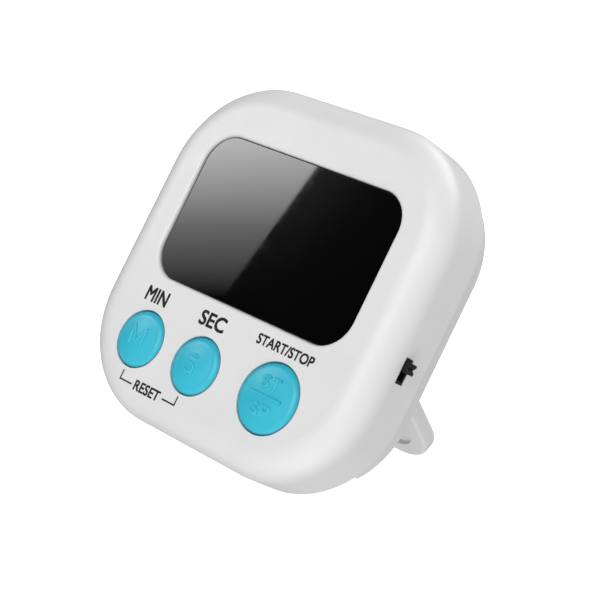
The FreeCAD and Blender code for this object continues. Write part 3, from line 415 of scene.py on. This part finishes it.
# Letters as lines through points of a unit square.
LETTER_M = [[(0, 0), (0, 1), (0.5, 0.15), (1, 1), (1, 0)]]
LETTER_S = [bend(0.5, 0.75, 0.5, 0.25, 30, 270) + bend(0.5, 0.25, 0.5, 0.25, 90, -150)]
LETTER_T = [[(0, 1), (1, 1)], [(0.5, 1), (0.5, 0)]]
LETTER_P = [[(0, 0), (0, 1), (0.5, 1)] + bend(0.5, 0.75, 0.5, 0.25, 90, -90) + [(0, 0.5)]]
BAR = [[(0, 0.5), (1, 0.5)]]

KEY_BODIES = {"minute_button": "minute_key", "second_button": "second_key", "start_stop_button": "start_stop_key"}
keys = {node: make_key(node, body) for node, body in KEY_BODIES.items()}

# Height, width and middle (right, up) of each raised letter, in millimetres from the middle of its key.
RAISED = [
    ("minute_letter", "minute_button", LETTER_M, 3.6, 3.0, -0.1, 0.2),
    ("second_letter", "second_button", LETTER_S, 3.2, 2.1, -0.4, 0.15),
    ("start_letter_s", "start_stop_button", LETTER_S, 1.9, 1.5, -1.3, 2.45),
    ("start_letter_t", "start_stop_button", LETTER_T, 1.9, 1.9, 0.95, 2.45),
    ("start_stop_bar", "start_stop_button", BAR, 1.0, 7.0, 0.0, 0.1),
    ("stop_letter_s", "start_stop_button", LETTER_S, 1.9, 1.5, -1.2, -2.35),
    ("stop_letter_p", "start_stop_button", LETTER_P, 1.9, 1.6, 1.2, -2.35),
]
for name, node, strokes, height, width, x, up in RAISED:
    add_raised(name, node, strokes, height, width, x, up)

# Middle (right, up), height and width of each printed word, in millimetres on the front face.
LABELS = [
    ("minute_label", "MIN", -18.4, -11.4, 2.75, 5.55),
    ("second_label", "SEC", -3.85, -11.25, 2.75, 6.3),
    ("start_stop_label", "START/STOP", 13.4, -10.45, 1.9, 13.2),
    ("reset_label", "RESET", -10.65, -27.1, 1.95, 6.6),
]
for name, words, x, up, height, width in LABELS:
    add_label(name, words, x, up, height, width)
add_printed_line("reset_line_left", [(-14.75, -27.3), (-17.75, -27.3), (-17.75, -25.75)])
add_printed_line("reset_line_right", [(-6.5, -27.15), (-3.45, -27.15), (-3.45, -25.6)])


# ---------------------------------------------------------------- light, floor and camera

# The camera's place from the middle of the front face (right, up, out) in millimetres, and its turn in degrees.
CAMERA_FROM_FACE = (189.0, -16.3, 215.7)
CAMERA_TURN = (3.84, 39.39, 23.62)
LENS_MM = 100.5
SENSOR_MM = 36.0

# Metres. The floor is flat out to one radius, bends up through a quarter circle and ends in a wall.
FLOOR_RADIUS = 2.0
FLOOR_BEND = 1.0
FLOOR_TOP = 4.0
FLOOR_SPOKES = 64
FLOOR_STEPS = 12
FLOOR_GLOW = 0.75


def add_camera():
    """The camera, placed and turned in the directions of the case's face, in millimetres and degrees."""
    data = bpy.data.cameras.new("camera")
    data.lens = LENS_MM
    data.sensor_width = SENSOR_MM
    data.clip_start = 0.01
    data.clip_end = 10.0
    camera = bpy.data.objects.new("camera", data)
    bpy.context.collection.objects.link(camera)
    right, up, out = CAMERA_FROM_FACE
    place = case_matrix(right, up, -out)
    for angle, axis in zip(CAMERA_TURN, "XYZ"):
        place = place @ Matrix.Rotation(math.radians(angle), 4, axis)
    camera.matrix_world = place
    bpy.context.scene.camera = camera


def add_floor():
    """A white floor that curves up all round into a backdrop far from the timer."""
    material = plastic("backdrop", (0.88, 0.88, 0.88), (0.90, 0.90, 0.90), (0.7, 0.8), 400.0, 20,
                       Emission_Color=(1, 1, 1, 1), Emission_Strength=FLOOR_GLOW)
    rings = [(FLOOR_RADIUS, 0.0)]
    for step in range(1, FLOOR_STEPS + 1):
        turn = math.pi / 2 * step / FLOOR_STEPS
        rings.append((FLOOR_RADIUS + FLOOR_BEND * math.sin(turn), FLOOR_BEND * (1 - math.cos(turn))))
    rings.append((FLOOR_RADIUS + FLOOR_BEND, FLOOR_TOP))
    verts = [(0, 0, 0)]
    for radius, z in rings:
        for spoke in range(FLOOR_SPOKES):
            turn = 2 * math.pi * spoke / FLOOR_SPOKES
            verts.append((radius * math.cos(turn), radius * math.sin(turn), z))
    faces = [(0, 1 + spoke, 1 + (spoke + 1) % FLOOR_SPOKES) for spoke in range(FLOOR_SPOKES)]
    for ring in range(len(rings) - 1):
        inner = 1 + ring * FLOOR_SPOKES
        outer = inner + FLOOR_SPOKES
        for spoke in range(FLOOR_SPOKES):
            after = (spoke + 1) % FLOOR_SPOKES
            faces.append((inner + spoke, outer + spoke, outer + after, inner + after))
    mesh = bpy.data.meshes.new("backdrop")
    mesh.from_pydata(verts, [], faces)
    mesh.shade_smooth()
    mesh.materials.append(material)
    floor = bpy.data.objects.new("backdrop", mesh)
    bpy.context.collection.objects.link(floor)
    floor.visible_diffuse = False
    floor.visible_glossy = False
    floor.visible_shadow = False


def add_card(name, outline, material, away):
    """A studio card that the camera sees only mirrored in the lens. Its outline is drawn on the lens, in
    millimetres on the face, and carried out along the mirrored lines of sight."""
    right, up, out = CAMERA_FROM_FACE
    recess = (span("display_lens", REAR)[0] - FACE_DEPTH) / MM
    mesh = bpy.data.meshes.new(name)
    mesh.from_pydata([(x * MM, y * MM, 0) for x, y in outline], [], [tuple(range(len(outline)))])
    mesh.materials.append(material)
    card = bpy.data.objects.new(name, mesh)
    bpy.context.collection.objects.link(card)
    grow = Matrix.Diagonal((1 + away, 1 + away, 1, 1))
    card.matrix_world = case_matrix(-right * away, -up * away, recess - (out + recess) * away) @ grow
    card.visible_camera = False
    card.visible_diffuse = False
    card.visible_transmission = False
    card.visible_shadow = False


def glow_material():
    """Light that fades to nothing across the card."""
    material = new_material("gradient_card", (0, 0, 0), 1.0, Emission_Strength=GLOW)
    nodes = material.node_tree.nodes
    links = material.node_tree.links
    place = nodes.new("ShaderNodeTexCoord")
    across = nodes.new("ShaderNodeVectorMath")
    across.operation = "DOT_PRODUCT"
    across.inputs[1].default_value = FADE_TOWARDS
    spread = nodes.new("ShaderNodeMapRange")
    spread.inputs["From Min"].default_value = FADE_START * MM
    spread.inputs["From Max"].default_value = FADE_END * MM
    ramp = nodes.new("ShaderNodeValToRGB")
    ramp.color_ramp.elements[0].color = (0, 0, 0, 1)
    ramp.color_ramp.elements[1].color = (1, 1, 1, 1)
    halfway = ramp.color_ramp.elements.new(FADE_HALFWAY)
    halfway.color = HALFWAY_GREY
    links.new(place.outputs["Object"], across.inputs[0])
    links.new(across.outputs["Value"], spread.inputs["Value"])
    links.new(spread.outputs["Result"], ramp.inputs["Fac"])
    links.new(ramp.outputs["Color"], nodes["Principled BSDF"].inputs["Emission Color"])
    return material


def add_area(name, place, size, power):
    """A soft light in metres and watts, aimed at the middle of the timer."""
    data = bpy.data.lights.new(name, "AREA")
    data.shape = "RECTANGLE"
    data.size, data.size_y = size
    data.energy = power
    lamp = bpy.data.objects.new(name, data)
    bpy.context.collection.objects.link(lamp)
    lamp.location = place
    lamp.rotation_euler = (Vector(LIGHT_AIM) - Vector(place)).to_track_quat("-Z", "Y").to_euler()


def add_world(dim, bright, towards):
    """Even light from most sides, falling off from bright to dim on the side away from one direction."""
    world = bpy.data.worlds.new("studio")
    world.use_nodes = True
    bpy.context.scene.world = world
    nodes = world.node_tree.nodes
    links = world.node_tree.links
    background = nodes["Background"]
    background.inputs["Color"].default_value = (1, 1, 1, 1)
    place = nodes.new("ShaderNodeTexCoord")
    along = nodes.new("ShaderNodeVectorMath")
    along.operation = "DOT_PRODUCT"
    along.inputs[1].default_value = Vector(towards).normalized()
    level = nodes.new("ShaderNodeMapRange")
    level.inputs["From Min"].default_value = FALL_OFF_END
    level.inputs["From Max"].default_value = FALL_OFF_START
    level.inputs["To Min"].default_value = dim
    level.inputs["To Max"].default_value = bright
    links.new(place.outputs["Generated"], along.inputs[0])
    links.new(along.outputs["Value"], level.inputs["Value"])
    links.new(level.outputs["Result"], background.inputs["Strength"])


GLOW = 9.5
LIGHT_AIM = (0, 0, 0.03)

# Cosines of the angle from the direction of the light.
FALL_OFF_START = 0.2
FALL_OFF_END = -0.75

# Outlines and fade on the lens, in millimetres from the middle of the face (right, up). The cards stand as
# far out as the camera, and the dark one a little behind the other.
CARD_AWAY = 1.0
DARK_AWAY = 1.05
DARK_OUTLINE = [(-70, -50), (60, -50), (60, 60), (-70, 60)]
GLOW_OUTLINE = [(-60, -20), (-8.0, -20), (5.8, 40), (-60, 40)]
FADE_TOWARDS = (-0.29, 0.96, 0.0)
FADE_START = -5.0
FADE_END = 24.0
FADE_HALFWAY = 0.45
HALFWAY_GREY = (0.28, 0.28, 0.28, 1)

bpy.context.scene.view_settings.view_transform = "Standard"
add_floor()
add_world(0.1, 0.55, (0.85, -0.1, -0.5))
add_area("key_light", (0.15, -1.0, 0.95), (1.0, 1.0), 11.0)
add_area("low_light", (0.3, -0.6, -0.5), (0.6, 0.6), 2.2)
add_area("rear_light", (0.1, 0.9, 0.9), (1.0, 0.6), 8.0)
add_card("dark_card", DARK_OUTLINE, BLACK, DARK_AWAY)
add_card("glowing_card", GLOW_OUTLINE, glow_material(), CARD_AWAY)
add_camera()
